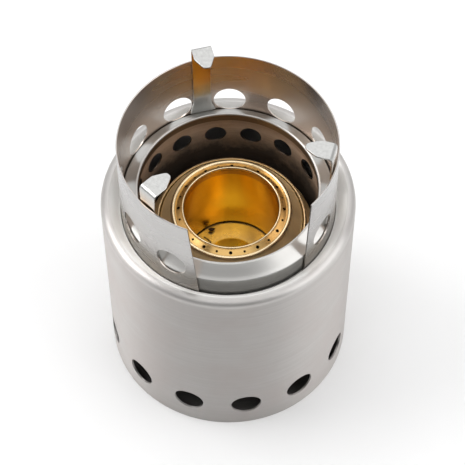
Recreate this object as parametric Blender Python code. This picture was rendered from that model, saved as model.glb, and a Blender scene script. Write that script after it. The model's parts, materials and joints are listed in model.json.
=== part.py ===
"""Double-walled twig stove with its lift-off cooking ring and a brass spirit burner.

Metres, +Z up, origin at the middle of the footprint, front of the stove towards -Y.
Angles called azimuths run from the front (-Y) towards +X.
"""
import bmesh
import bpy
import math

MM = 0.001
GAP = 0.3                       # clearance left between pieces that touch, mm

# Body, mm
BODY_R = 54.0
SHELL_T = 0.8
BODY_TOP_Z = 101.8
CORNER_R = 3.0
LIP_R = 45.75                   # inner edge of the sloping shoulder
VENT_COUNT = 13
VENT_R = 6.8
VENT_Z = 16.2
VENT_FIRST = 8.2                # azimuth of the vent nearest the front, degrees

# Collar, brim and firebox, mm
CHANNEL_Z = 94.4                # floor of the channel that holds the cooking ring
COLLAR_R = 44.55
COLLAR_TOP_Z = 104.6
MOUTH_R = 37.8
MOUTH_Z = 109.2
FIREBOX_R = 39.8                # inside of the firebox wall
FIREBOX_T = 0.7
FIREBOX_BOTTOM_Z = 27.0
FIREBOX_TOP_Z = 105.5
FLAME_HOLE_COUNT = 16
FLAME_HOLE_R = 4.85
FLAME_HOLE_Z = 93.0
FLAME_HOLE_FIRST = -172.0

# Floor of the stove, mm
BASE_Z = 1.6
BASE_T = 0.8
PAN_R = 34.0
PAN_Z = 18.0
PAN_POST_R = 1.8
PAN_POST_CIRCLE = 26.0

# Grate, mm
LEDGE_Z = 45.2
LEDGE_T = 0.8
LEDGE_IN_R = 32.5
WIRE_R = 0.9
HOOP_RADII = {"grate_hoop_outer": 35.6, "grate_hoop_middle": 23.0, "grate_hoop_inner": 10.0}
BAR_OFFSETS = (-24.0, -8.0, 8.0, 24.0)

# Cooking ring, mm
RING_IN_R = 44.85
RING_T = 0.6
RING_BOTTOM_Z = CHANNEL_Z + GAP
RING_TOP_Z = 139.5
RING_HOLE_R = 7.0
RING_HOLE_Z = 110.8
RING_HOLES = 10
RING_HOLE_FIRST = 59.0
RING_HOLE_STEP = 30.0
GAP_RIGHT = (43.7, 46.9)        # azimuth of the feed gap's edges, bottom and top
GAP_LEFT = (344.8, 339.4)
REST_Z = 149.0                  # top of the pot supports
REST_T = 0.8
REST_CHAMFER_R = 37.5           # where the support's top starts to narrow
REST_TIP_R = 32.2
SUPPORTS = {
    "pot_support_back": -165.4,
    "pot_support_left": -45.8,
    "pot_support_right": 74.5,
}

# Spirit burner, mm
BURNER_X = 1.3                  # the burner stands a little off centre
BURNER_R = 36.0
BURNER_TOP_Z = 93.9
BURNER_CUP_TOP_Z = 79.0
THREAD_R = 32.1
MOUTH_RIM_R = 20.3
JET_COUNT = 24
JET_R = 0.75
JET_FIRST = -0.8
TUFT_X, TUFT_Y = -7.4, 15.4      # scrap of wick showing at the foot of the well

MATERIALS = {
    "brushed_steel": ((0.60, 0.59, 0.57), 0.32, 1.0),
    "sooted_steel": ((0.16, 0.12, 0.09), 0.55, 0.9),
    "bare_steel": ((0.52, 0.50, 0.48), 0.4, 1.0),
    "nichrome_wire": ((0.25, 0.23, 0.22), 0.45, 1.0),
    "brass": ((0.72, 0.46, 0.16), 0.28, 1.0),
    "bright_brass": ((0.85, 0.60, 0.22), 0.2, 1.0),
    "wick_fibre": ((0.22, 0.14, 0.07), 0.9, 0.0),
}


def material(slot):
    """The Principled material of one slot, made the first time it is asked for."""
    made = bpy.data.materials.get(slot)
    if made:
        return made
    colour, roughness, metallic = MATERIALS[slot]
    made = bpy.data.materials.new(slot)
    made.use_nodes = True
    shader = made.node_tree.nodes["Principled BSDF"]
    shader.inputs["Base Color"].default_value = (*colour, 1.0)
    shader.inputs["Roughness"].default_value = roughness
    shader.inputs["Metallic"].default_value = metallic
    made.diffuse_color = (*colour, 1.0)
    return made


def add_piece(name, verts, faces, slot, centre=(0.0, 0.0, 0.0), sharp=35.0):
    """One closed solid from vertices in mm, with its origin at centre."""
    bm = bmesh.new()
    made = [bm.verts.new(((v[0] - centre[0]) * MM, (v[1] - centre[1]) * MM,
                          (v[2] - centre[2]) * MM)) for v in verts]
    for face in faces:
        if len(set(face)) > 2:
            bm.faces.new([made[i] for i in face])
    bmesh.ops.recalc_face_normals(bm, faces=bm.faces)
    mesh = bpy.data.meshes.new(name)
    bm.to_mesh(mesh)
    bm.free()
    mesh.shade_smooth()
    mesh.set_sharp_from_angle(angle=math.radians(sharp))
    mesh.materials.append(material(slot))
    piece = bpy.data.objects.new(name, mesh)
    piece.location = [c * MM for c in centre]
    bpy.context.collection.objects.link(piece)
    return piece


def polar(radius, azimuth, z, cx=0.0):
    """Point at a radius and an azimuth in radians, about a vertical axis at x = cx."""
    return (cx + radius * math.sin(azimuth), -radius * math.cos(azimuth), z)


def lathe(name, profile, steps, slot, cx=0.0, centre=(0.0, 0.0, 0.0), sharp=35.0):
    """Solid of revolution of a closed (radius, z) outline; points at radius 0 become poles."""
    verts, ring_of = [], []
    for radius, z in profile:
        if radius < 1e-6:
            ring_of.append([len(verts)] * steps)
            verts.append((cx, 0.0, z))
            continue
        ring_of.append(list(range(len(verts), len(verts) + steps)))
        verts += [polar(radius, math.tau * k / steps, z, cx) for k in range(steps)]
    faces = []
    for i, ring in enumerate(ring_of):
        above = ring_of[(i + 1) % len(ring_of)]
        if ring[0] == ring[1] and above[0] == above[1]:
            continue
        for k in range(steps):
            n = (k + 1) % steps
            corners = []
            for index in (ring[k], ring[n], above[n], above[k]):
                if index not in corners:
                    corners.append(index)
            faces.append(corners)
    return add_piece(name, verts, faces, slot, centre, sharp)


def sheet(name, rows, columns, holes, slot, closed=True, end_angle=None, cx=0.0,
          centre=(0.0, 0.0, 0.0), sharp=35.0):
    """Bent sheet metal. Each row is an (outer, inner) pair of (radius, z) points.

    columns are azimuths in radians; holes are (column, row, cells, radius) blocks whose
    square of cells is replaced by a round hole. end_angle(row, last) moves an open
    sheet's two end columns row by row.
    """
    verts, found, faces = [], {}, []
    count = len(columns)

    def angle(row, col):
        if end_angle and col in (0, count - 1):
            return end_angle(row, col == count - 1)
        return columns[col]

    def grid(side, row, col):
        col = col % count if closed else col
        key = (side, row, col)
        if key not in found:
            radius, z = rows[row][side]
            found[key] = len(verts)
            verts.append(polar(radius, angle(row, col), z, cx))
        return found[key]

    covered = set()
    for col, row, cells, _ in holes:
        covered |= {(row + i, (col + j) % count) for i in range(cells) for j in range(cells)}
    spans = count if closed else count - 1
    for row in range(len(rows) - 1):
        for col in range(spans):
            if (row, col) in covered:
                continue
            for side in (0, 1):
                faces.append([grid(side, row, col), grid(side, row, col + 1),
                              grid(side, row + 1, col + 1), grid(side, row + 1, col)])
    for row in (0, len(rows) - 1):
        for col in range(spans):
            faces.append([grid(0, row, col), grid(0, row, col + 1),
                          grid(1, row, col + 1), grid(1, row, col)])
    if not closed:
        for col in (0, count - 1):
            for row in range(len(rows) - 1):
                faces.append([grid(0, row, col), grid(0, row + 1, col),
                              grid(1, row + 1, col), grid(1, row, col)])

    for col, row, cells, radius in holes:
        edge = [(0, j) for j in range(cells)] + [(i, cells) for i in range(cells)]
        edge += [(cells, cells - j) for j in range(cells)]
        edge += [(cells - i, 0) for i in range(cells)]
        start = columns[col]
        width = (columns[(col + cells) % count] - start) % math.tau
        rims = []
        for side in (0, 1):
            (r0, z0), (r1, z1) = rows[row][side], rows[row + cells][side]
            height = math.hypot(r1 - r0, z1 - z0)
            middle = (rows[row][0][0] + rows[row + cells][0][0]) / 2
            rim = []
            for i, j in edge:
                across = (j / cells - 0.5) * width * middle
                up = (i / cells - 0.5) * height
                scale = radius / math.hypot(across, up)
                share = 0.5 + up * scale / height
                turn = start + width / 2 + across * scale / middle
                rim.append(len(verts))
                verts.append(polar(r0 + (r1 - r0) * share, turn, z0 + (z1 - z0) * share, cx))
            rims.append(rim)
            for k in range(len(edge)):
                n = (k + 1) % len(edge)
                (i0, j0), (i1, j1) = edge[k], edge[n]
                faces.append([grid(side, row + i0, col + j0), grid(side, row + i1, col + j1),
                              rim[n], rim[k]])
        for k in range(len(edge)):
            n = (k + 1) % len(edge)
            faces.append([rims[0][k], rims[0][n], rims[1][n], rims[1][k]])
    return add_piece(name, verts, faces, slot, centre, sharp)


def hole_columns(centres, half, cells, between):
    """Azimuth lines through round holes, and the column each hole's block starts at."""
    columns, starts = [], []
    for i, middle in enumerate(centres):
        following = centres[(i + 1) % len(centres)]
        starts.append(len(columns))
        columns += [middle - half + 2 * half * k / cells for k in range(cells + 1)]
        space = (following - middle) % math.tau - 2 * half
        columns += [middle + half + space * k / (between + 1) for k in range(1, between + 1)]
    return columns, starts


def straight(r_out, r_in, z0, z1, cells):
    """Evenly spaced rows of a vertical wall."""
    return [((r_out, z0 + (z1 - z0) * k / cells), (r_in, z0 + (z1 - z0) * k / cells))
            for k in range(cells + 1)]


def arc(cx, cz, radius, start, end, steps):
    """Points of a profile arc, angles in degrees from +radius towards +Z."""
    return [(cx + radius * math.cos(math.radians(start + (end - start) * k / steps)),
             cz + radius * math.sin(math.radians(start + (end - start) * k / steps)))
            for k in range(steps + 1)]


def ribbon(name, stations, thickness, azimuth, slot, centre):
    """Bent flat strip. Each station is (radius, z, left, right, normal radius, normal z)."""
    a = math.radians(azimuth)
    out, along = (math.sin(a), -math.cos(a)), (math.cos(a), math.sin(a))
    verts, faces = [], []
    for radius, z, left, right, nr, nz in stations:
        size = math.hypot(nr, nz)
        for side in (0.0, -thickness):
            for t in (left, right):
                r = radius + side * nr / size
                verts.append((r * out[0] + t * along[0], r * out[1] + t * along[1],
                              z + side * nz / size))
    for i in range(len(stations) - 1):
        p, q = 4 * i, 4 * i + 4
        for k, n in ((0, 1), (1, 3), (3, 2), (2, 0)):
            faces.append([p + k, p + n, q + n, q + k])
    faces.append([0, 1, 3, 2])
    last = 4 * (len(stations) - 1)
    faces.append([last, last + 1, last + 3, last + 2])
    return add_piece(name, verts, faces, slot, centre)


def wire_bar(name, half_length, y, z, slot):
    """Straight round wire along X with slightly domed ends."""
    sides = 10
    stations = [(-half_length, 0.55), (-half_length + 0.4, 1.0),
                (half_length - 0.4, 1.0), (half_length, 0.55)]
    verts = [(x, y + WIRE_R * f * math.cos(math.tau * k / sides),
              z + WIRE_R * f * math.sin(math.tau * k / sides))
             for x, f in stations for k in range(sides)]
    faces = [[s * sides + k, s * sides + (k + 1) % sides,
              (s + 1) * sides + (k + 1) % sides, (s + 1) * sides + k]
             for s in range(len(stations) - 1) for k in range(sides)]
    faces += [list(range(sides)), list(range(3 * sides, 4 * sides))]
    return add_piece(name, verts, faces, slot)


def outer_shell():
    """Perforated outer wall, rolled top corner, and shoulder sloping in to the lip."""
    half = VENT_R + 1.6
    inner = BODY_R - SHELL_T
    rows = [((BODY_R - 0.2, 0.0), (inner, 0.0))]
    rows += straight(BODY_R, inner, 1.0, VENT_Z - half, 1)
    rows += straight(BODY_R, inner, VENT_Z - half, VENT_Z + half, 4)[1:]
    rows += straight(BODY_R, inner, VENT_Z + half, BODY_TOP_Z - CORNER_R, 1)[1:]
    corner_z = BODY_TOP_Z - CORNER_R
    outside = arc(BODY_R - CORNER_R, corner_z, CORNER_R, 0, 90, 3)[1:]
    inside = arc(BODY_R - CORNER_R, corner_z, CORNER_R - SHELL_T, 0, 90, 3)[1:]
    rows += list(zip(outside, inside))
    rows += [((50.1, BODY_TOP_Z - 0.45), (50.4, BODY_TOP_Z - 1.35)),
             ((47.2, 97.6), (47.5, 96.5)),
             ((45.95, 96.35), (46.1, 95.3)),
             ((LIP_R, 96.0), (LIP_R, 95.3))]
    centres = [math.radians(VENT_FIRST + 360.0 * k / VENT_COUNT) for k in range(VENT_COUNT)]
    columns, starts = hole_columns(centres, half / BODY_R, 4, 1)
    sheet("outer_shell", rows, columns, [(s, 2, 4, VENT_R) for s in starts], "brushed_steel")


def collar_and_brim():
    """Channel floor, upright collar, sloping brim and the rolled edge of the mouth."""
    profile = [(50.0, CHANNEL_Z - 0.8), (50.0, CHANNEL_Z), (COLLAR_R + 0.3, CHANNEL_Z),
               (COLLAR_R, CHANNEL_Z + 0.3), (COLLAR_R, COLLAR_TOP_Z - 0.9),
               (COLLAR_R - 0.2, COLLAR_TOP_Z - 0.25), (COLLAR_R - 0.75, COLLAR_TOP_Z + 0.15),
               (MOUTH_R + 1.3, MOUTH_Z - 0.35), (MOUTH_R + 0.7, MOUTH_Z),
               (MOUTH_R + 0.2, MOUTH_Z - 0.1), (MOUTH_R, MOUTH_Z - 0.6),
               (MOUTH_R, MOUTH_Z - 4.2), (MOUTH_R + 0.7, MOUTH_Z - 4.2),
               (MOUTH_R + 0.7, MOUTH_Z - 1.5), (COLLAR_R - 1.2, COLLAR_TOP_Z - 1.0),
               (COLLAR_R - 0.8, COLLAR_TOP_Z - 1.5), (COLLAR_R - 0.8, CHANNEL_Z - 0.8)]
    lathe("collar_and_brim", profile, 64, "brushed_steel")


def firebox():
    """Perforated inner wall of the firebox."""
    half = FLAME_HOLE_R + 1.0
    outer = FIREBOX_R + FIREBOX_T
    rows = straight(outer, FIREBOX_R, FIREBOX_BOTTOM_Z, FLAME_HOLE_Z - half, 1)
    rows += straight(outer, FIREBOX_R, FLAME_HOLE_Z - half, FLAME_HOLE_Z + half, 4)[1:]
    rows += straight(outer, FIREBOX_R, FLAME_HOLE_Z + half, FIREBOX_TOP_Z, 1)[1:]
    centres = [math.radians(FLAME_HOLE_FIRST + 360.0 * k / FLAME_HOLE_COUNT)
               for k in range(FLAME_HOLE_COUNT)]
    columns, starts = hole_columns(centres, half / FIREBOX_R, 4, 0)
    sheet("firebox_wall", rows, columns, [(s, 1, 4, FLAME_HOLE_R) for s in starts],
          "sooted_steel")


def stove_floor():
    """Base plate, the ash pan above it and the posts between them."""
    rim = BODY_R - SHELL_T - GAP
    lathe("base_plate", [(0.0, BASE_Z), (rim - 6.0, BASE_Z), (rim - 5.0, BASE_Z + 0.6),
                         (rim, BASE_Z + 0.6), (rim, BASE_Z + 3.4), (rim - 0.8, BASE_Z + 3.4),
                         (rim - 0.8, BASE_Z + 1.4), (rim - 5.3, BASE_Z + 1.4),
                         (rim - 6.3, BASE_Z + BASE_T), (0.0, BASE_Z + BASE_T)],
          48, "bare_steel")
    lathe("ash_pan", [(0.0, PAN_Z), (PAN_R - 2.0, PAN_Z), (PAN_R, PAN_Z + 2.0),
                      (PAN_R, PAN_Z + 5.0), (PAN_R - 0.8, PAN_Z + 5.0),
                      (PAN_R - 0.8, PAN_Z + 2.3), (PAN_R - 2.3, PAN_Z + 0.8),
                      (0.0, PAN_Z + 0.8)], 32, "sooted_steel")
    bottom, top = BASE_Z + BASE_T + GAP, PAN_Z - GAP
    for k in range(3):
        x, y, _ = polar(PAN_POST_CIRCLE, math.radians(120.0 * k + 30.0), 0.0)
        verts = [(x + PAN_POST_R * math.cos(math.tau * j / 12),
                  y + PAN_POST_R * math.sin(math.tau * j / 12), z)
                 for z in (bottom, top) for j in range(12)]
        faces = [[j, (j + 1) % 12, 12 + (j + 1) % 12, 12 + j] for j in range(12)]
        faces += [list(range(12)), list(range(12, 24))]
        add_piece("ash_pan_post_%d" % (k + 1), verts, faces, "bare_steel")


def grate():
    """Pressed ledge in the firebox with the wire grate lying on it."""
    edge = FIREBOX_R - GAP
    lathe("grate_ledge", [(edge, LEDGE_Z - 6.0), (edge, LEDGE_Z - 0.6), (edge - 0.6, LEDGE_Z),
                          (LEDGE_IN_R, LEDGE_Z), (LEDGE_IN_R, LEDGE_Z - LEDGE_T),
                          (edge - 0.8, LEDGE_Z - LEDGE_T), (edge - 0.8, LEDGE_Z - 6.0)],
          48, "sooted_steel")
    hoop_z = LEDGE_Z + GAP + WIRE_R
    for name, radius in HOOP_RADII.items():
        lathe(name, arc(radius, hoop_z, WIRE_R, 0, 300, 5), 32, "nichrome_wire")
    bar_z = hoop_z + 2 * WIRE_R + GAP
    for k, y in enumerate(BAR_OFFSETS):
        wire_bar("grate_bar_%d" % (k + 1), math.sqrt(37.2 ** 2 - y * y), y, bar_z,
                 "nichrome_wire")
    return bar_z + WIRE_R + GAP


def cooking_ring():
    """Rolled ring with its feed gap and row of vent holes."""
    half = RING_HOLE_R + 0.9
    outer = RING_IN_R + RING_T
    rows = straight(outer, RING_IN_R, RING_BOTTOM_Z, RING_HOLE_Z - half, 1)
    rows += straight(outer, RING_IN_R, RING_HOLE_Z - half, RING_HOLE_Z + half, 4)[1:]
    rows += straight(outer, RING_IN_R, RING_HOLE_Z + half, RING_TOP_Z, 1)[1:]
    centres = [math.radians(RING_HOLE_FIRST + RING_HOLE_STEP * k) for k in range(RING_HOLES)]
    columns, starts = hole_columns(centres, half / outer, 4, 1)
    columns = [math.radians(GAP_RIGHT[0])] + columns[:-1] + [math.radians(GAP_LEFT[0])]
    tall = RING_TOP_Z - RING_BOTTOM_Z

    def end_angle(row, last):
        low, high = GAP_LEFT if last else GAP_RIGHT
        return math.radians(low + (high - low) * (rows[row][0][1] - RING_BOTTOM_Z) / tall)

    sheet("cooking_ring", rows, columns, [(s + 1, 1, 4, RING_HOLE_R) for s in starts],
          "brushed_steel", closed=False, end_angle=end_angle,
          centre=(0.0, 0.0, RING_BOTTOM_Z))


def pot_supports():
    """Strips on the inside of the ring, folded inwards at the top to carry the pot."""
    foot = math.sqrt((RING_IN_R - GAP) ** 2 - 5.8 ** 2)
    face = math.sqrt((RING_IN_R - GAP) ** 2 - 4.3 ** 2)
    stations = [(foot, 105.5, -5.8, 5.3, 1, 0), (foot, 107.6, -5.2, 5.0, 1, 0),
                (face, 110.0, -4.3, 4.3, 1, 0), (face, 112.5, -4.0, 3.8, 1, 0),
                (face, REST_Z - 2.0, -4.2, 4.2, 1, 0),
                (face - 0.3, REST_Z - 0.8, -4.2, 4.2, 1, 0.4),
                (face - 0.9, REST_Z - 0.2, -4.2, 4.2, 1, 1), (face - 1.8, REST_Z, -4.2, 4.2, 0, 1),
                (REST_CHAMFER_R, REST_Z, -4.2, 4.2, 0, 1),
                (REST_TIP_R + 0.8, REST_Z, -1.8, 1.8, 0, 1),
                (REST_TIP_R, REST_Z, -0.9, 0.9, 0, 1)]
    for name, azimuth in SUPPORTS.items():
        ribbon(name, stations, REST_T, azimuth, "brushed_steel", (0.0, 0.0, RING_BOTTOM_Z))


def burner(base):
    """Spirit burner: cup, threaded collar, jet ring, inner well, its floor and the wick."""
    axis = (BURNER_X, 0.0, base)
    floor = base + 1.6 + GAP
    top, shelf = BURNER_TOP_Z, BURNER_CUP_TOP_Z
    lathe("burner_cup", [(0.0, base + 0.8), (26.0, base + 0.8), (28.0, base),
                         (BURNER_R - 2.0, base), (BURNER_R, base + 2.0),
                         (BURNER_R, shelf - 2.5), (BURNER_R - 0.8, shelf - 0.8),
                         (BURNER_R - 2.4, shelf), (THREAD_R + 0.6, shelf),
                         (THREAD_R + 0.6, shelf - 0.8), (BURNER_R - 2.6, shelf - 0.8),
                         (BURNER_R - 1.2, shelf - 2.2), (BURNER_R - 0.8, shelf - 3.5),
                         (BURNER_R - 0.8, base + 2.3), (BURNER_R - 2.3, base + 0.8),
                         (28.2, base + 0.8), (26.2, base + 1.6), (0.0, base + 1.6)],
          48, "brass", BURNER_X, axis)
    threads = [(THREAD_R - 1.0, shelf - 3.0), (THREAD_R, shelf - 3.0)]
    for k in range(2):
        z = shelf + 0.9 + 2.4 * k
        threads += [(THREAD_R, z), (THREAD_R + 0.25, z + 0.55), (THREAD_R + 0.25, z + 0.9),
                    (THREAD_R, z + 1.45)]
    rim = shelf + 6.0
    threads += [(THREAD_R, rim), (THREAD_R - 0.3, rim + 0.4), (THREAD_R - 0.8, rim + 0.4),
                (THREAD_R - 1.0, rim)]
    lathe("burner_thread_collar", threads, 48, "bright_brass", BURNER_X, axis)

    inner = MOUTH_RIM_R
    band_top, band_foot = (inner + 1.1, top - 0.9), (inner + 3.5, top - 1.9)
    rows = [((inner, top - 1.2), (inner + 0.5, top - 1.2)),
            ((inner, top - 0.5), (inner + 0.5, top - 0.9)),
            ((inner + 0.35, top), (inner + 0.65, top - 0.75)),
            (band_top, (band_top[0] - 0.15, band_top[1] - 0.6))]
    for k in (1, 2):
        f = k / 2
        r = band_top[0] + (band_foot[0] - band_top[0]) * f
        z = band_top[1] + (band_foot[1] - band_top[1]) * f
        rows.append(((r, z), (r - 0.15, z - 0.6)))
    rows += [((24.1, top - 1.3), (24.2, top - 2.5)), ((24.9, top - 0.9), (24.8, top - 1.8)),
             ((25.9, top - 2.2), (25.4, top - 2.8)),
             ((30.8, rim + 0.9), (30.4, rim + 0.4)), ((30.8, rim - 2.0), (30.3, rim - 2.0))]
    centres = [math.radians(JET_FIRST + 360.0 * k / JET_COUNT) for k in range(JET_COUNT)]
    columns, starts = hole_columns(centres, 1.15 / (inner + 2.3), 2, 0)
    jets = [(s, 3, 2, JET_R if k % 2 == 0 else JET_R * 0.7) for k, s in enumerate(starts)]
    sheet("burner_jet_ring", rows, columns, jets, "brass", cx=BURNER_X, centre=axis)

    wall_in, wall_top = inner, top - 1.2 - GAP
    lathe("burner_well_wall", [(wall_in, floor + 1.8), (wall_in + 0.6, floor + 1.8),
                               (wall_in + 0.6, wall_top), (wall_in, wall_top)],
          48, "bright_brass", BURNER_X, axis)
    lathe("burner_floor", [(0.0, floor), (25.5, floor), (25.5, floor + 0.6),
                           (0.0, floor + 0.6)], 48, "bright_brass", BURNER_X, axis)
    lathe("burner_wick_sleeve", [(wall_in + 0.9, floor + 0.9), (27.0, floor + 0.9),
                                 (27.0, shelf - 2.0), (wall_in + 0.9, shelf - 2.0)],
          40, "wick_fibre", BURNER_X, axis)
    x, y, z = TUFT_X, TUFT_Y, floor + 0.6 + GAP
    tuft = [(0.0, 0.0), (1.5, 0.0), (1.9, 0.7), (1.3, 1.6), (0.5, 2.0), (0.0, 2.1)]
    verts, faces = [], []
    sides = 9
    for r, h in tuft[1:-1]:
        for k in range(sides):
            wave = 1.0 + 0.22 * math.sin(3 * math.tau * k / sides)
            verts.append((x + r * wave * math.cos(math.tau * k / sides),
                          y + r * wave * 0.7 * math.sin(math.tau * k / sides), z + h))
    for s in range(len(tuft) - 3):
        faces += [[s * sides + k, s * sides + (k + 1) % sides,
                   (s + 1) * sides + (k + 1) % sides, (s + 1) * sides + k]
                  for k in range(sides)]
    faces += [list(range(sides)), list(range(3 * sides, 4 * sides))]
    add_piece("burner_wick_tuft", verts, faces, "wick_fibre", axis)


for old in list(bpy.data.objects):
    bpy.data.objects.remove(old, do_unlink=True)
outer_shell()
collar_and_brim()
firebox()
stove_floor()
burner_base = grate()
cooking_ring()
pot_supports()
burner(burner_base)
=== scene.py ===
"""Looks of the double-walled stove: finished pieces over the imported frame, light and camera."""
import bmesh
import bpy
import json
import math
from mathutils import Matrix, Vector


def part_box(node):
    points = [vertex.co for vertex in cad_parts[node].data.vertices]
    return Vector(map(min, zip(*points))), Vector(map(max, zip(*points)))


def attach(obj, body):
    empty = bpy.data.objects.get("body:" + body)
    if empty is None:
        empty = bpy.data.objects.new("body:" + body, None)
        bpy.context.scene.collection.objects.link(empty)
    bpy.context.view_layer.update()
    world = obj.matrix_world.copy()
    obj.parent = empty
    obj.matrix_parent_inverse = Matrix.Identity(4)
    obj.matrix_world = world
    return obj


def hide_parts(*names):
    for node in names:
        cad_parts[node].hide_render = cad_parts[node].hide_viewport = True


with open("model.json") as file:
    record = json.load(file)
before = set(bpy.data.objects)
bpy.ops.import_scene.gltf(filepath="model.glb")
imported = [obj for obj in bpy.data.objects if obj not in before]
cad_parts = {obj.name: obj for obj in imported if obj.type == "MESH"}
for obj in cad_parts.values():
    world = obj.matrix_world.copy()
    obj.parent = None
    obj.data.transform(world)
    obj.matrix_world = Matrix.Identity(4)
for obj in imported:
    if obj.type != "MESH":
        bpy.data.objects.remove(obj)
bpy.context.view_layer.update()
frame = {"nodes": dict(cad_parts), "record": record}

MM = 0.001
SHARP_EDGE = math.radians(35.0)
BODY_OF = {node: body for body, nodes in frame["record"]["behaviour"]["bodies"].items()
           for node in nodes}


def span(node):
    """Lowest and highest corner of a CAD node in mm."""
    low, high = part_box(node)
    return [c / MM for c in low], [c / MM for c in high]


def outer_radius(node):
    """Radius of a round CAD node from its box, in mm."""
    low, high = span(node)
    return (high[1] - low[1]) / 2


# Sizes taken from the frame, mm
BODY_TOP_Z = span("outer_shell")[1][2]
MOUTH_Z = span("collar_and_brim")[1][2]
RING_BOTTOM_Z, RING_TOP_Z = span("cooking_ring")[0][2], span("cooking_ring")[1][2]
REST_Z = span("pot_support_back")[1][2]
LEDGE_Z = span("grate_ledge")[1][2]
BURNER_X = (span("burner_cup")[0][0] + span("burner_cup")[1][0]) / 2
BURNER_BASE_Z, BURNER_SHELF_Z = span("burner_cup")[0][2], span("burner_cup")[1][2]
BURNER_TOP_Z = span("burner_jet_ring")[1][2]

# Driving sizes that boxes don't give, mm
GAP = 0.3                               # between neighbouring pieces
BODY_R = 54.0
COLLAR_R = 44.55
RING_R, RING_THICK = 45.45, 0.6
THREAD_R = 32.1
BURNER_RIM_Z = BURNER_SHELF_Z + 6.0     # where the threads end and the jet ring's shoulder starts
WELL_R = 20.3


def polar(radius, azimuth, z, cx=0.0):
    """Point at a radius and an azimuth in radians, about a vertical axis at x = cx."""
    return (cx + radius * math.sin(azimuth), -radius * math.cos(azimuth), z)


def add_piece(name, verts, faces, material):
    """One closed piece from vertices in mm; it takes the place of the CAD node of that name."""
    bm = bmesh.new()
    made = [bm.verts.new([c * MM for c in v]) for v in verts]
    for face in faces:
        if len(set(face)) > 2:
            bm.faces.new([made[i] for i in face])
    bmesh.ops.recalc_face_normals(bm, faces=bm.faces)
    mesh = bpy.data.meshes.new(name + "_looks")
    bm.to_mesh(mesh)
    bm.free()
    mesh.shade_smooth()
    mesh.set_sharp_from_angle(angle=SHARP_EDGE)
    mesh.materials.append(material)
    piece = bpy.data.objects.new(name + "_looks", mesh)
    bpy.context.collection.objects.link(piece)
    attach(piece, BODY_OF[name])
    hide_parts(name)
    return piece


def dress(node, material):
    """Gives a CAD node that stays as it is its finish."""
    frame["nodes"][node].data.materials.clear()
    frame["nodes"][node].data.materials.append(material)


def lathe(name, profile, steps, material, cx=0.0):
    """Solid of revolution of a closed (radius, z) outline; points at radius 0 become poles."""
    verts, ring_of = [], []
    for radius, z in profile:
        if radius < 1e-6:
            ring_of.append([len(verts)] * steps)
            verts.append((cx, 0.0, z))
            continue
        ring_of.append(list(range(len(verts), len(verts) + steps)))
        verts += [polar(radius, math.tau * k / steps, z, cx) for k in range(steps)]
    faces = []
    for i, ring in enumerate(ring_of):
        above = ring_of[(i + 1) % len(ring_of)]
        if ring[0] == ring[1] and above[0] == above[1]:
            continue
        for k in range(steps):
            following = (k + 1) % steps
            corners = []
            for index in (ring[k], ring[following], above[following], above[k]):
                if index not in corners:
                    corners.append(index)
            faces.append(corners)
    add_piece(name, verts, faces, material)


def sheet(name, rows, columns, holes, material, closed=True, end_angle=None, cx=0.0):
    """Bent sheet metal. Each row is an (outer, inner) pair of (radius, z) points.

    columns are azimuths in radians; holes are (column, row, cells, radius) blocks whose
    square of cells is replaced by a round hole. end_angle(row, last) moves an open
    sheet's two end columns row by row.
    """
    verts, found, faces = [], {}, []
    count = len(columns)

    def angle(row, col):
        if end_angle and col in (0, count - 1):
            return end_angle(row, col == count - 1)
        return columns[col]

    def grid(side, row, col):
        col = col % count if closed else col
        key = (side, row, col)
        if key not in found:
            radius, z = rows[row][side]
            found[key] = len(verts)
            verts.append(polar(radius, angle(row, col), z, cx))
        return found[key]

    covered = set()
    for col, row, cells, _ in holes:
        covered |= {(row + i, (col + j) % count) for i in range(cells) for j in range(cells)}
    spans = count if closed else count - 1
    for row in range(len(rows) - 1):
        for col in range(spans):
            if (row, col) in covered:
                continue
            for side in (0, 1):
                faces.append([grid(side, row, col), grid(side, row, col + 1),
                              grid(side, row + 1, col + 1), grid(side, row + 1, col)])
    for row in (0, len(rows) - 1):
        for col in range(spans):
            faces.append([grid(0, row, col), grid(0, row, col + 1),
                          grid(1, row, col + 1), grid(1, row, col)])
    if not closed:
        for col in (0, count - 1):
            for row in range(len(rows) - 1):
                faces.append([grid(0, row, col), grid(0, row + 1, col),
                              grid(1, row + 1, col), grid(1, row, col)])

    for col, row, cells, radius in holes:
        edge = [(0, j) for j in range(cells)] + [(i, cells) for i in range(cells)]
        edge += [(cells, cells - j) for j in range(cells)]
        edge += [(cells - i, 0) for i in range(cells)]
        start = columns[col]
        width = (columns[(col + cells) % count] - start) % math.tau
        rims = []
        for side in (0, 1):
            (r0, z0), (r1, z1) = rows[row][side], rows[row + cells][side]
            height = math.hypot(r1 - r0, z1 - z0)
            middle = (rows[row][0][0] + rows[row + cells][0][0]) / 2
            rim = []
            for i, j in edge:
                across = (j / cells - 0.5) * width * middle
                up = (i / cells - 0.5) * height
                scale = radius / math.hypot(across, up)
                share = 0.5 + up * scale / height
                turn = start + width / 2 + across * scale / middle
                rim.append(len(verts))
                verts.append(polar(r0 + (r1 - r0) * share, turn, z0 + (z1 - z0) * share, cx))
            rims.append(rim)
            for k in range(len(edge)):
                following = (k + 1) % len(edge)
                (i0, j0), (i1, j1) = edge[k], edge[following]
                faces.append([grid(side, row + i0, col + j0), grid(side, row + i1, col + j1),
                              rim[following], rim[k]])
        for k in range(len(edge)):
            following = (k + 1) % len(edge)
            faces.append([rims[0][k], rims[0][following], rims[1][following], rims[1][k]])
    add_piece(name, verts, faces, material)


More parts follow.
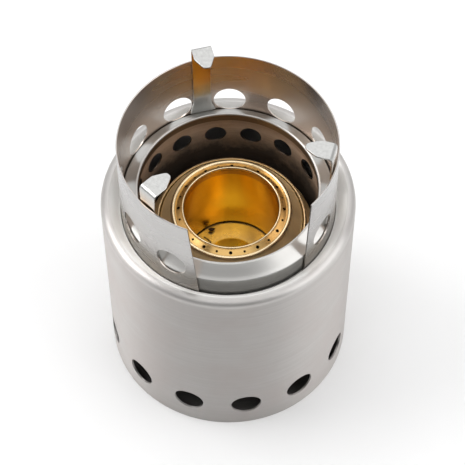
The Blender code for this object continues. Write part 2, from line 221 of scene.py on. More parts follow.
def hole_columns(centres, half, cells, between):
    """Azimuth lines through round holes, and the column each hole's block starts at."""
    columns, starts = [], []
    for i, middle in enumerate(centres):
        following = centres[(i + 1) % len(centres)]
        starts.append(len(columns))
        columns += [middle - half + 2 * half * k / cells for k in range(cells + 1)]
        space = (following - middle) % math.tau - 2 * half
        columns += [middle + half + space * k / (between + 1) for k in range(1, between + 1)]
    return columns, starts


def straight(r_out, r_in, z0, z1, cells):
    """Evenly spaced rows of a vertical wall."""
    return [((r_out, z0 + (z1 - z0) * k / cells), (r_in, z0 + (z1 - z0) * k / cells))
            for k in range(cells + 1)]


def arc(cx, cz, radius, start, end, steps):
    """Points of a profile arc, angles in degrees from +radius towards +Z."""
    return [(cx + radius * math.cos(math.radians(start + (end - start) * k / steps)),
             cz + radius * math.sin(math.radians(start + (end - start) * k / steps)))
            for k in range(steps + 1)]


def ribbon(name, stations, thickness, azimuth, material):
    """Bent flat strip. Each station is (radius, z, left, right, normal radius, normal z)."""
    a = math.radians(azimuth)
    out, along = (math.sin(a), -math.cos(a)), (math.cos(a), math.sin(a))
    verts, faces = [], []
    for radius, z, left, right, normal_r, normal_z in stations:
        size = math.hypot(normal_r, normal_z)
        for side in (0.0, -thickness):
            for t in (left, right):
                r = radius + side * normal_r / size
                verts.append((r * out[0] + t * along[0], r * out[1] + t * along[1],
                              z + side * normal_z / size))
    for i in range(len(stations) - 1):
        p, q = 4 * i, 4 * i + 4
        for k, following in ((0, 1), (1, 3), (3, 2), (2, 0)):
            faces.append([p + k, p + following, q + following, q + k])
    faces.append([0, 1, 3, 2])
    last = 4 * (len(stations) - 1)
    faces.append([last, last + 1, last + 3, last + 2])
    return add_piece(name, verts, faces, material)


def tube(verts, faces, rings):
    """Adds a closed tube through equal rings of points to a piece's vertices and faces."""
    begin, sides = len(verts), len(rings[0])
    for ring in rings:
        verts += ring
    for k in range(len(rings) - 1):
        p = begin + k * sides
        faces += [[p + j, p + (j + 1) % sides, p + sides + (j + 1) % sides, p + sides + j]
                  for j in range(sides)]
    last = begin + (len(rings) - 1) * sides
    faces += [[begin + j for j in range(sides)], [last + j for j in range(sides)]]


class Nodes:
    """Small helper that builds one material's node tree; places and sizes are in metres."""

    def __init__(self, name, colour, roughness, metallic=1.0):
        self.material = bpy.data.materials.new(name)
        self.material.use_nodes = True
        self.tree = self.material.node_tree
        self.shader = self.tree.nodes["Principled BSDF"]
        self.shader.inputs["Base Color"].default_value = (*colour, 1.0)
        self.shader.inputs["Roughness"].default_value = roughness
        self.shader.inputs["Metallic"].default_value = metallic
        place = self.tree.nodes.new("ShaderNodeTexCoord")
        self.place = place.outputs["Object"]
        split = self.tree.nodes.new("ShaderNodeSeparateXYZ")
        self.link(self.place, split.inputs[0])
        self.x, self.y, self.z = split.outputs
        flat = self.vector(self.x, self.y, 0.0)
        self.radius = self.vector_math("LENGTH", flat, None, 1)
        self.around = self.vector_math("NORMALIZE", flat, None, 0)

    def radius_from(self, x):
        """Distance from the vertical line through (x, 0)."""
        return self.vector_math("LENGTH", self.vector(self.math("SUBTRACT", self.x, x),
                                                      self.y, 0.0), None, 1)

    def link(self, a, b):
        self.tree.links.new(a, b)

    def feed(self, socket, value):
        """Links a socket, or sets its number; None leaves it alone."""
        if value is None:
            return
        if isinstance(value, bpy.types.NodeSocket):
            self.link(value, socket)
        else:
            socket.default_value = value

    def math(self, kind, a, b=None, clamp=False):
        node = self.tree.nodes.new("ShaderNodeMath")
        node.operation, node.use_clamp = kind, clamp
        self.feed(node.inputs[0], a)
        self.feed(node.inputs[1], b)
        return node.outputs[0]

    def vector_math(self, kind, a, b, out=0):
        node = self.tree.nodes.new("ShaderNodeVectorMath")
        node.operation = kind
        self.feed(node.inputs[0], a)
        self.feed(node.inputs[1], b)
        return node.outputs[out]

    def vector(self, x, y, z):
        node = self.tree.nodes.new("ShaderNodeCombineXYZ")
        for socket, value in zip(node.inputs, (x, y, z)):
            self.feed(socket, value)
        return node.outputs[0]

    def noise(self, where, scale, detail=3.0, rough=0.55):
        node = self.tree.nodes.new("ShaderNodeTexNoise")
        self.link(where, node.inputs["Vector"])
        node.inputs["Scale"].default_value = scale
        node.inputs["Detail"].default_value = detail
        node.inputs["Roughness"].default_value = rough
        return node.outputs["Fac"]

    def remap(self, value, low, high, to_low, to_high):
        node = self.tree.nodes.new("ShaderNodeMapRange")
        self.feed(node.inputs["Value"], value)
        for name, number in (("From Min", low), ("From Max", high),
                             ("To Min", to_low), ("To Max", to_high)):
            node.inputs[name].default_value = number
        return node.outputs["Result"]

    def rise(self, value, low, high, share=1.0):
        """0 below low, share above high."""
        return self.remap(value, low, high, 0.0, share)

    def fall(self, value, low, high, share=1.0):
        """share below low, 0 above high."""
        return self.remap(value, low, high, share, 0.0)

    def both(self, a, b):
        """Where two masks overlap."""
        return self.math("MULTIPLY", a, b, True)

    def band(self, value, low, high):
        """1 inside a band of a value with soft ends, 0 outside."""
        soft = (high - low) * 0.35
        return self.both(self.rise(value, low, low + soft), self.fall(value, high - soft, high))

    def mix(self, share, a, b):
        node = self.tree.nodes.new("ShaderNodeMix")
        node.data_type = "RGBA"
        self.feed(node.inputs[0], share)
        for socket, value in ((node.inputs[6], a), (node.inputs[7], b)):
            self.feed(socket, value if isinstance(value, bpy.types.NodeSocket) else (*value, 1.0))
        return node.outputs[2]

    def brush_coords(self, fine=1.0):
        """Coordinates whose noise makes thin lines running round the Z axis."""
        slow, close = 0.2, 260.0
        turn = self.vector_math("MULTIPLY", self.around, (slow, slow, 0.0))
        lines = self.math("MULTIPLY", self.math("ADD", self.z, self.radius), close * fine)
        return self.vector_math("ADD", turn, self.vector(0.0, 0.0, lines))

    def along_coords(self, axis=2, fine=1.0):
        """Coordinates whose noise makes thin lines running along one axis."""
        slow, close = 12.0, 900.0
        scales = [close * fine] * 3
        scales[axis] = slow * fine
        return self.vector_math("MULTIPLY", self.place, tuple(scales))

    def brushed(self, amount):
        """Spreads the gloss across the brushing, which runs round the Z axis."""
        tangent = self.tree.nodes.new("ShaderNodeTangent")
        tangent.direction_type, tangent.axis = "RADIAL", "Z"
        self.link(tangent.outputs[0], self.shader.inputs["Tangent"])
        self.shader.inputs["Anisotropic"].default_value = amount
        self.shader.inputs["Anisotropic Rotation"].default_value = 0.25

    def finish(self, colour, roughness, height=None, strength=0.2, depth=0.00005):
        """Connects the shader, with a bump of a height pattern if there is one."""
        self.feed(self.shader.inputs["Base Color"], colour)
        self.feed(self.shader.inputs["Roughness"], roughness)
        if height is not None:
            bump = self.tree.nodes.new("ShaderNodeBump")
            bump.inputs["Strength"].default_value = strength
            bump.inputs["Distance"].default_value = depth
            self.link(height, bump.inputs["Height"])
            self.link(bump.outputs["Normal"], self.shader.inputs["Normal"])
        return self.material


def round_metal(name, light, dark, rough, spread, stain=None, fine=1.0, brushed=0.75):
    """Metal turned or brushed round the Z axis, with cloudy wear and optional staining."""
    nodes = Nodes(name, light, rough)
    nodes.brushed(brushed)
    lines = nodes.noise(nodes.brush_coords(fine), 4.0, 2.0, 0.5)
    clouds = nodes.noise(nodes.place, 38.0, 3.0)
    fine_clouds = nodes.noise(nodes.place, 210.0, 2.0)
    colour = nodes.mix(nodes.rise(lines, 0.3, 0.7), dark, light)
    worn = tuple(0.86 * c for c in light)
    colour = nodes.mix(nodes.rise(clouds, 0.35, 0.75, 0.5), colour, worn)
    if stain:
        colour = nodes.mix(nodes.rise(clouds, 0.42, 0.68, 0.35), colour, stain)
    cloudy = 0.35 * spread
    tone = nodes.math("ADD", nodes.remap(lines, 0.25, 0.75, -spread, spread),
                      nodes.remap(fine_clouds, 0.3, 0.7, -cloudy, cloudy))
    return nodes, colour, nodes.math("ADD", tone, rough), lines


STEEL, STEEL_DARK = (0.54, 0.52, 0.505), (0.48, 0.46, 0.445)


def body_steel():
    """Satin outer wall: glossier at the corner with a painted highlight there, painted light on
    the shoulder, darker at the foot.
    """
    nodes, colour, rough, lines = round_metal("body_steel", STEEL, STEEL_DARK, 0.50, 0.04,
                                              stain=(0.50, 0.44, 0.42), brushed=0.9)
    corner = nodes.both(nodes.rise(nodes.z, 0.0975, 0.0995),
                        nodes.rise(nodes.radius, 0.0500, 0.0508))
    rough = nodes.math("SUBTRACT", rough, nodes.math("MULTIPLY", corner, 0.14))
    flat_grain = nodes.vector_math("MULTIPLY", nodes.place, (60.0, 60.0, 900.0))
    scuffs = nodes.noise(flat_grain, 1.0, 5.0, 0.7)
    colour = nodes.mix(nodes.rise(scuffs, 0.62, 0.75, 0.25), colour, (0.62, 0.60, 0.58))
    foot = nodes.fall(nodes.z, 0.0, 0.012, 0.35)
    colour = nodes.mix(foot, colour, (0.42, 0.40, 0.38))
    # painted highlight: the glossy corner's colour is lightened a little
    colour = nodes.mix(nodes.math("MULTIPLY", corner, 0.2), colour, (0.80, 0.79, 0.77))
    # painted light: the shoulder is coloured almost white so it looks brightly lit
    shoulder = nodes.both(nodes.fall(nodes.radius, 0.0500, 0.0512),
                          nodes.rise(nodes.z, 0.094, 0.095))
    colour = nodes.mix(shoulder, colour, (0.98, 0.97, 0.95))
    rough = nodes.math("ADD", rough, nodes.math("MULTIPLY", shoulder, 0.12))
    return nodes.finish(colour, rough, lines, 0.15)


def brim_steel():
    """Collar and brim: bright on the slope, painted shade on the upright, browned in the mouth."""
    nodes, colour, rough, lines = round_metal("brim_steel", (0.64, 0.63, 0.61),
                                              (0.52, 0.51, 0.49), 0.34, 0.05)
    mouth = nodes.both(nodes.fall(nodes.radius, 0.0382, 0.0386),
                       nodes.fall(nodes.z, 0.1080, 0.1088))
    colour = nodes.mix(mouth, colour, (0.20, 0.145, 0.105))
    # painted shade: the collar's upright, in the slot inside the cooking ring, is coloured dark
    upright = nodes.both(nodes.rise(nodes.radius, 0.0440, 0.0443),
                         nodes.fall(nodes.z, 0.1042, 0.1046, 0.7))
    colour = nodes.mix(upright, colour, (0.30, 0.295, 0.28))
    return nodes.finish(colour, rough, lines, 0.18)


def ring_steel():
    """Cooking ring: plain outside, faintly browned low down, and a painted warm reflection of the
    brass burner all over the inside.
    """
    nodes, colour, rough, _ = round_metal("ring_steel", (0.53, 0.52, 0.51), (0.52, 0.51, 0.50),
                                          0.27, 0.0, fine=0.4, brushed=0.6)
    bottom = RING_BOTTOM_Z * MM
    heat = nodes.band(nodes.z, bottom - 0.004, bottom + 0.016)
    patch = nodes.remap(nodes.noise(nodes.place, 60.0, 3.0), 0.35, 0.7, 0.1, 0.6)
    colour = nodes.mix(nodes.math("MULTIPLY", heat, patch), colour, (0.50, 0.40, 0.28))
    # painted reflection: the inside is tinted warm like the brass burner it faces
    inside = nodes.fall(nodes.radius, 0.04495, 0.04515, 0.85)
    bands = nodes.noise(nodes.brush_coords(0.12), 4.0, 0.0)
    browned = nodes.math("MULTIPLY", inside, nodes.remap(bands, 0.3, 0.7, 0.8, 1.0))
    colour = nodes.mix(browned, colour, (0.67, 0.57, 0.50))
    rough = nodes.math("ADD", rough, nodes.remap(bands, 0.3, 0.7, -0.02, 0.02))
    return nodes.finish(colour, rough)


def support_steel():
    """Pot supports: bright steel with a painted amber reflection of the brass burner on the
    upright.
    """
    nodes = Nodes("support_steel", STEEL, 0.2)
    lines = nodes.noise(nodes.along_coords(), 1.0, 3.0)
    clouds = nodes.noise(nodes.place, 90.0, 3.0)
    colour = nodes.mix(nodes.rise(lines, 0.3, 0.7), (0.50, 0.50, 0.49), (0.58, 0.58, 0.57))
    # painted reflection: an amber band from the brass burner on the upright
    amber = nodes.math("MULTIPLY", nodes.band(nodes.z, 0.1175, 0.148),
                       nodes.remap(clouds, 0.35, 0.65, 0.3, 0.7))
    colour = nodes.mix(amber, colour, (0.72, 0.42, 0.13))
    return nodes.finish(colour, nodes.remap(lines, 0.3, 0.7, 0.16, 0.24), lines, 0.08)


def firebox_steel():
    """Firebox: browned steel under soot that thickens downwards."""
    nodes, colour, rough, lines = round_metal("firebox_steel", (0.62, 0.46, 0.34),
                                              (0.46, 0.33, 0.24), 0.5, 0.08)
    soot = nodes.noise(nodes.place, 70.0, 5.0, 0.65)
    depth = nodes.remap(nodes.z, 0.080, 0.098, 1.5, 0.1)
    share = nodes.both(nodes.remap(soot, 0.35, 0.65, 0.55, 1.0), depth)
    colour = nodes.mix(share, colour, (0.075, 0.058, 0.045))
    rough = nodes.math("ADD", rough, nodes.remap(soot, 0.3, 0.7, -0.05, 0.2))
    return nodes.finish(colour, rough, lines, 0.12)


def floor_steel():
    """Base plate and posts: plain dull steel."""
    nodes, colour, rough, lines = round_metal("floor_steel", (0.30, 0.29, 0.28),
                                              (0.22, 0.21, 0.20), 0.42, 0.08)
    return nodes.finish(colour, rough, lines)


def nichrome():
    """Grate wire with a dark, uneven oxide."""
    nodes = Nodes("nichrome", (0.2, 0.18, 0.17), 0.45)
    oxide = nodes.noise(nodes.place, 400.0, 4.0)
    colour = nodes.mix(oxide, (0.10, 0.085, 0.08), (0.30, 0.27, 0.25))
    return nodes.finish(colour, nodes.remap(oxide, 0.3, 0.7, 0.35, 0.6), oxide, 0.3)


def cup_brass():
    """Burner cup: dull spun brass."""
    nodes, colour, rough, lines = round_metal("cup_brass", (0.92, 0.66, 0.36),
                                              (0.80, 0.55, 0.28), 0.52, 0.05,
                                              stain=(0.72, 0.47, 0.24), fine=1.4)
    return nodes.finish(colour, rough, lines, 0.12)


def top_brass():
    """Jet ring: bright lips, a dark jet band between them and a dull shoulder."""
    nodes, colour, rough, lines = round_metal("top_brass", (0.98, 0.82, 0.55),
                                              (0.90, 0.70, 0.42), 0.22, 0.04, fine=1.6)
    out = nodes.radius_from(BURNER_X * MM)
    jets = nodes.both(nodes.rise(out, 0.0212, 0.0214), nodes.fall(out, 0.0237, 0.0239))
    patina = nodes.noise(nodes.place, 160.0, 3.0)
    colour = nodes.mix(jets, colour, (0.56, 0.355, 0.13))
    shoulder = nodes.rise(out, 0.0256, 0.0262)
    dull = nodes.mix(nodes.rise(patina, 0.3, 0.7), (0.98, 0.76, 0.44), (0.92, 0.68, 0.38))
    shoulder = nodes.both(shoulder, nodes.fall(out, 0.0302, 0.0304))
    colour = nodes.mix(shoulder, colour, dull)
    rough = nodes.math("ADD", rough, nodes.math("MULTIPLY", shoulder, 0.32))
    return nodes.finish(colour, rough, lines, 0.10)


def thread_brass():
    """Burner threads: bright turned brass."""
    nodes, colour, rough, lines = round_metal("thread_brass", (0.97, 0.78, 0.50),
                                              (0.80, 0.58, 0.32), 0.25, 0.04, fine=1.6)
    return nodes.finish(colour, rough, lines, 0.1)


def well_brass():
    """Wall of the burner's well: deep yellow, with painted shade as a darker ring under the lip.
    """
    nodes, colour, rough, lines = round_metal("well_brass", (0.93, 0.595, 0.03),
                                              (0.90, 0.565, 0.025), 0.24, 0.02,
                                              stain=(0.85, 0.47, 0.02), fine=0.9, brushed=0.4)
    top = BURNER_TOP_Z * MM
    # painted shade: a darker ring just under the lip
    painted_shade_under_lip = nodes.rise(nodes.z, top - 0.0047, top - 0.0042, 0.85)
    colour = nodes.mix(painted_shade_under_lip, colour, (0.46, 0.27, 0.09))
    return nodes.finish(colour, rough, lines, 0.03)


def well_floor_brass():
    """Floor of the burner's well: mottled brass with brown spots."""
    nodes = Nodes("well_floor_brass", (0.82, 0.5, 0.1), 0.3)
    mottle = nodes.noise(nodes.place, 130.0, 4.0)
    spots = nodes.noise(nodes.place, 420.0, 3.0)
    colour = nodes.mix(nodes.rise(mottle, 0.3, 0.7), (0.64, 0.50, 0.28), (0.52, 0.38, 0.18))
    colour = nodes.mix(nodes.rise(spots, 0.64, 0.76, 0.5), colour, (0.40, 0.22, 0.08))
    return nodes.finish(colour, nodes.remap(mottle, 0.3, 0.7, 0.2, 0.4), mottle, 0.1)


def wick_fibre():
    """Charred wick."""
    nodes = Nodes("wick", (0.05, 0.03, 0.015), 0.9, 0.0)
    strands = nodes.noise(nodes.along_coords(0, 1.5), 1.0, 4.0)
    colour = nodes.mix(strands, (0.012, 0.008, 0.005), (0.10, 0.05, 0.025))
    return nodes.finish(colour, nodes.remap(strands, 0.3, 0.7, 0.8, 0.95), strands, 0.6, 0.0003)


def backdrop():
    """Pale studio floor."""
    nodes = Nodes("backdrop", (0.92, 0.92, 0.92), 0.75, 0.0)
    grain = nodes.noise(nodes.place, 30.0, 3.0)
    colour = nodes.mix(grain, (0.91, 0.91, 0.91), (0.93, 0.93, 0.93))
    return nodes.finish(colour, nodes.remap(grain, 0.3, 0.7, 0.7, 0.8))


LOOK = {"body": body_steel(), "brim": brim_steel(), "ring": ring_steel(),
        "support": support_steel(), "firebox": firebox_steel(), "floor": floor_steel(),
        "wire": nichrome(), "cup": cup_brass(), "top": top_brass(), "thread": thread_brass(),
        "well": well_brass(), "well_floor": well_floor_brass(), "wick": wick_fibre(),
        "backdrop": backdrop()}


def outer_shell():
    """Perforated outer wall, rolled top corner, and shoulder sloping in to the lip."""
    vents, vent_r, vent_z, first = 13, 6.8, 16.2, 8.2
    cells, between = 10, 7
    top, corner, thick, lip = BODY_TOP_Z, 3.0, 0.8, 45.75
    half, inner = vent_r + 1.6, BODY_R - thick
    rows = [((BODY_R - 0.25, 0.0), (inner, 0.0)), ((BODY_R - 0.07, 0.1), (inner, 0.1)),
            ((BODY_R, 0.35), (inner, 0.35))]
    rows += straight(BODY_R, inner, 1.0, vent_z - half, 2)
    base = len(rows) - 1
    rows += straight(BODY_R, inner, vent_z - half, vent_z + half, cells)[1:]
    rows += straight(BODY_R, inner, vent_z + half, top - corner, 6)[1:]
    outside = arc(BODY_R - corner, top - corner, corner, 0, 90, 10)[1:]
    inside = arc(BODY_R - corner, top - corner, corner - thick, 0, 90, 10)[1:]
    rows += list(zip(outside, inside))
    rows += [((50.55, top - 0.1), (50.7, top - 0.95)), ((50.1, top - 0.45), (50.4, top - 1.35)),
             ((49.1, top - 1.6), (49.4, top - 2.6)), ((48.1, top - 3.0), (48.4, top - 4.1)),
             ((47.2, top - 4.2), (47.5, top - 5.3)), ((46.6, top - 5.05), (46.8, top - 6.1)),
             ((46.2, top - 5.35), (46.35, top - 6.4)), ((45.95, top - 5.4), (46.1, top - 6.5)),
             ((lip, top - 5.65), (lip, top - 6.5))]
    centres = [math.radians(first + 360.0 * k / vents) for k in range(vents)]
    columns, starts = hole_columns(centres, half / BODY_R, cells, between)
    sheet("outer_shell", rows, columns, [(start, base, cells, vent_r) for start in starts],
          LOOK["body"])


def collar_and_brim():
    """Channel floor, upright collar, sloping brim and the rolled edge of the mouth."""
    channel, mouth, top, floor = 50.0, 37.8, 104.6, RING_BOTTOM_Z - GAP
    thick, slope_steps = 0.8, 4
    profile = [(channel, floor - thick), (channel, floor), (COLLAR_R + 0.3, floor),
               (COLLAR_R + 0.08, floor + 0.1), (COLLAR_R, floor + 0.3), (COLLAR_R, top - 1.0),
               (COLLAR_R - 0.05, top - 0.6), (COLLAR_R - 0.2, top - 0.25),
               (COLLAR_R - 0.45, top), (COLLAR_R - 0.75, top + 0.15)]
    upper, lower = (mouth + 1.3, MOUTH_Z - 0.35), (COLLAR_R - 0.75, top + 0.15)
    for k in range(1, slope_steps + 1):
        down = 1 - k / slope_steps
        profile.append((upper[0] + (lower[0] - upper[0]) * down,
                        upper[1] - (upper[1] - lower[1]) * down))
    profile += [(mouth + 1.0, MOUTH_Z - 0.1), (mouth + 0.7, MOUTH_Z),
                (mouth + 0.4, MOUTH_Z - 0.02), (mouth + 0.2, MOUTH_Z - 0.12),
                (mouth + 0.05, MOUTH_Z - 0.3), (mouth, MOUTH_Z - 0.6), (mouth, MOUTH_Z - 4.2),
                (mouth + 0.7, MOUTH_Z - 4.2), (mouth + 0.7, MOUTH_Z - 1.5),
                (COLLAR_R - 1.2, top - 1.0), (COLLAR_R - thick, top - 1.5),
                (COLLAR_R - thick, floor - thick)]
    lathe("collar_and_brim", profile, 192, LOOK["brim"])


def firebox():
    """Perforated inner wall of the firebox."""
    holes, hole_r, hole_z, first = 16, 4.85, 93.0, -172.0
    cells, between = 8, 2
    low, high = span("firebox_wall")
    outer = outer_radius("firebox_wall")
    inner, half = outer - 0.7, hole_r + 1.0
    rows = straight(outer, inner, low[2], hole_z - half, 3)
    base = len(rows) - 1
    rows += straight(outer, inner, hole_z - half, hole_z + half, cells)[1:]
    rows += straight(outer, inner, hole_z + half, high[2], 2)[1:]
    centres = [math.radians(first + 360.0 * k / holes) for k in range(holes)]
    columns, starts = hole_columns(centres, half / inner, cells, between)
    sheet("firebox_wall", rows, columns, [(start, base, cells, hole_r) for start in starts],
          LOOK["firebox"])


def base_plate():
    """Base plate with its middle pressed down and its rim turned up."""
    rim, z, thick = outer_radius("base_plate"), span("base_plate")[0][2], 0.8
    lathe("base_plate", [(0.0, z), (rim - 6.2, z), (rim - 5.6, z + 0.15), (rim - 5.2, z + 0.5),
                         (rim - 4.8, z + 0.6), (rim - 0.3, z + 0.6), (rim, z + 0.9),
                         (rim, z + 3.4), (rim - thick, z + 3.4), (rim - thick, z + 1.4),
                         (rim - 5.3, z + 1.4), (rim - 6.3, z + thick), (0.0, z + thick)],
          128, LOOK["floor"])


def ash_pan():
    """Ash pan with a rounded edge."""
    rim, z, thick = outer_radius("ash_pan"), span("ash_pan")[0][2], 0.8
    lathe("ash_pan", [(0.0, z), (rim - 2.0, z), (rim - 1.2, z + 0.2), (rim - 0.5, z + 0.8),
                      (rim, z + 2.0), (rim, z + 5.0), (rim - thick, z + 5.0),
                      (rim - thick, z + 2.3), (rim - 2.3, z + thick), (0.0, z + thick)],
          96, LOOK["firebox"])


def grate():
    """Ledge of the grate, its wire hoops, and the finish of its bars."""
    edge, inner, thick, tall = outer_radius("grate_ledge"), 32.5, 0.8, 6.0
    lathe("grate_ledge", [(edge, LEDGE_Z - tall), (edge, LEDGE_Z - 0.6),
                          (edge - 0.15, LEDGE_Z - 0.2), (edge - 0.6, LEDGE_Z),
                          (inner, LEDGE_Z), (inner, LEDGE_Z - thick),
                          (edge - thick, LEDGE_Z - thick), (edge - thick, LEDGE_Z - tall)],
          128, LOOK["firebox"])
    wire = 0.9
    for name in ("grate_hoop_outer", "grate_hoop_middle", "grate_hoop_inner"):
        lathe(name, arc(outer_radius(name) - wire, LEDGE_Z + GAP + wire, wire, 0, 330, 11), 96,
              LOOK["wire"])
    for k in range(1, 5):
        dress(f"grate_bar_{k}", LOOK["wire"])


def cooking_ring():
    """Rolled ring with its feed gap and row of vent holes, edges slightly rounded."""
    holes, hole_r, hole_z, first, pitch = 10, 7.0, 110.8, 59.0, 30.0
    cells, between = 10, 6
    bottom, top, inner, half = RING_BOTTOM_Z, RING_TOP_Z, RING_R - RING_THICK, hole_r + 0.9
    round_r, round_z = 0.12, 0.15
    rows = [((RING_R - round_r, bottom), (inner + round_r, bottom)),
            ((RING_R, bottom + round_z), (inner, bottom + round_z))]
    rows += straight(RING_R, inner, bottom + 0.6, hole_z - half, 2)
    base = len(rows) - 1
    rows += straight(RING_R, inner, hole_z - half, hole_z + half, cells)[1:]
    rows += straight(RING_R, inner, hole_z + half, top - round_z, 4)[1:]
    rows += [((RING_R - round_r, top), (inner + round_r, top))]
    centres = [math.radians(first + pitch * k) for k in range(holes)]
    columns, starts = hole_columns(centres, half / RING_R, cells, between)
    right, left = (43.7, 46.9), (344.8, 339.4)      # the gap's edges in degrees, bottom and top
    columns = [math.radians(right[0])] + columns[:-between] + [math.radians(left[0])]

    def end_angle(row, last):
        low, high = left if last else right
        return math.radians(low + (high - low) * (rows[row][0][1] - bottom) / (top - bottom))

    sheet("cooking_ring", rows, columns, [(start + 1, base, cells, hole_r) for start in starts],
          LOOK["ring"], closed=False, end_angle=end_angle)


def pot_supports():
    """Folded pot supports with a rounded bend, tip and foot."""
    # The strip is flat, so its side edges are what comes nearest to the ring's inside
    edge, foot_half, half = RING_R - RING_THICK - GAP, 5.8, 4.3
    foot, face = math.sqrt(edge ** 2 - foot_half ** 2), math.sqrt(edge ** 2 - half ** 2)
    bottom, waist, bend, thick = span("pot_support_back")[0][2], 127.0, 2.0, 0.8
    stations = [(foot, bottom, -5.6, 5.1, 1, 0), (foot, bottom + 0.4, -5.8, 5.3, 1, 0),
                (foot, bottom + 2.1, -5.2, 5.0, 1, 0), (foot + 0.1, bottom + 3.3, -4.7, 4.6, 1, 0),
                (face, bottom + 4.5, -4.3, 4.3, 1, 0), (face, bottom + 5.8, -4.1, 4.0, 1, 0),
                (face, bottom + 7.0, -4.0, 3.8, 1, 0), (face, waist, -4.0, 3.85, 1, 0),
                (face, REST_Z - 2.4, -4.2, 4.2, 1, 0)]
    for k in range(0, 11):
        a = math.radians(9.0 * k)
        stations.append((face - bend + bend * math.cos(a), REST_Z - bend + bend * math.sin(a),
                         -4.2, 4.2, math.cos(a), math.sin(a)))
    stations += [(38.0, REST_Z, -4.2, 4.2, 0, 1), (37.3, REST_Z, -4.05, 4.05, 0, 1),
                 (36.8, REST_Z, -3.8, 3.8, 0, 1), (33.6, REST_Z, -2.1, 2.1, 0, 1),
                 (33.0, REST_Z, -1.7, 1.7, 0, 1), (32.5, REST_Z, -1.2, 1.2, 0, 1),
                 (32.2, REST_Z, -0.5, 0.5, 0, 1)]
    for name, azimuth in (("pot_support_back", -165.4), ("pot_support_left", -45.8),
                          ("pot_support_right", 74.5)):
        piece = ribbon(name, stations, thick, azimuth, LOOK["support"])
        soften = piece.modifiers.new("edges", "BEVEL")
        soften.width, soften.segments, soften.limit_method = 0.15 * MM, 2, "ANGLE"
        soften.angle_limit = math.radians(50.0)


def burner_cup():
    """Spun cup standing on a foot ring, with a shelf turned in under the threads."""
    base, shelf, wall, shelf_in = BURNER_BASE_Z, BURNER_SHELF_Z, 36.0, THREAD_R + 0.6
    profile = [(0.0, base + 0.8), (26.0, base + 0.8), (27.2, base + 0.3), (28.4, base),
               (wall - 2.0, base), (wall - 0.6, base + 0.6), (wall, base + 2.0),
               (wall, shelf - 3.0), (wall - 0.15, shelf - 1.9), (wall - 0.6, shelf - 1.0),
               (wall - 1.4, shelf - 0.3), (wall - 2.4, shelf), (shelf_in, shelf),
               (shelf_in, shelf - 0.8), (wall - 2.6, shelf - 0.8),
               (wall - 1.2, shelf - 2.2), (wall - 0.8, shelf - 3.5),
               (wall - 0.8, base + 2.3), (wall - 2.3, base + 0.8),
               (28.2, base + 0.8), (26.2, base + 1.6), (0.0, base + 1.6)]
    lathe("burner_cup", profile, 160, LOOK["cup"], BURNER_X)


def thread_collar():
    """Upright collar with three rounded threads and a rolled top edge."""
    threads, pitch = 3, 1.75
    shelf, rim, inner = BURNER_SHELF_Z, BURNER_RIM_Z, THREAD_R - 1.0
    profile = [(inner, shelf - 3.0), (THREAD_R, shelf - 3.0)]
    for k in range(threads):
        z = shelf + 0.5 + pitch * k
        profile += [(THREAD_R, z), (THREAD_R + 0.12, z + 0.15), (THREAD_R + 0.25, z + 0.5),
                    (THREAD_R + 0.25, z + 0.7), (THREAD_R + 0.12, z + 1.05), (THREAD_R, z + 1.2)]
    profile += [(THREAD_R, rim + 0.2), (THREAD_R - 0.12, rim + 0.5), (THREAD_R - 0.4, rim + 0.62),
                (THREAD_R - 0.75, rim + 0.55), (inner, rim + 0.2)]
    lathe("burner_thread_collar", profile, 160, LOOK["thread"], BURNER_X)


def jet_ring():
    """Rolled lip, sloping band with two sizes of jet in turn, bead and outer shoulder."""
    lip, top, rim = WELL_R, BURNER_TOP_Z, BURNER_RIM_Z
    rows = [((lip, top - 1.2), (lip + 0.5, top - 1.2)), ((lip, top - 0.6), (lip + 0.5, top - 1.0)),
            ((lip + 0.08, top - 0.28), (lip + 0.52, top - 0.9)),
            ((lip + 0.22, top - 0.08), (lip + 0.58, top - 0.82)),
            ((lip + 0.42, top), (lip + 0.66, top - 0.78)),
            ((lip + 0.66, top - 0.05), (lip + 0.74, top - 0.84)),
            ((lip + 0.85, top - 0.25), (lip + 0.82, top - 1.0)),
            ((lip + 0.98, top - 0.6), (lip + 0.88, top - 1.3))]
    base, cells = len(rows), 6
    band_in, band_out = (lip + 1.1, top - 0.9), (lip + 3.5, top - 1.9)
    for k in range(cells + 1):
        r = band_in[0] + (band_out[0] - band_in[0]) * k / cells
        z = band_in[1] + (band_out[1] - band_in[1]) * k / cells
        rows.append(((r, z), (r - 0.15, z - 0.6)))
    rows += [((23.95, top - 1.6), (24.05, top - 2.6)), ((24.15, top - 1.25), (24.25, top - 2.4)),
             ((24.5, top - 0.98), (24.5, top - 2.0)), ((24.9, top - 0.9), (24.8, top - 1.8)),
             ((25.35, top - 1.05), (25.1, top - 1.95)), ((25.7, top - 1.5), (25.3, top - 2.3)),
             ((25.9, top - 2.2), (25.4, top - 2.8)), ((26.9, top - 3.7), (26.4, top - 4.2)),
             ((28.2, rim + 3.1), (27.8, rim + 2.6)), ((29.7, rim + 1.3), (29.3, rim + 0.8)),
             ((30.4, rim + 0.5), (30.0, rim)), ((30.7, rim + 0.1), (30.25, rim - 0.4)),
             ((30.8, rim - 0.3), (30.3, rim - 0.7)), ((30.8, rim - 2.0), (30.3, rim - 2.0))]
    count, first, large, small = 24, -0.8, 0.75, 0.52
    centres = [math.radians(first + 360.0 / count * k) for k in range(count)]
    block_half, between, middle = 1.15, 3, (band_in[0] + band_out[0]) / 2
    columns, starts = hole_columns(centres, block_half / middle, cells, between)
    jets = [(start, base, cells, small if k % 2 else large) for k, start in enumerate(starts)]
    sheet("burner_jet_ring", rows, columns, jets, LOOK["top"], cx=BURNER_X)


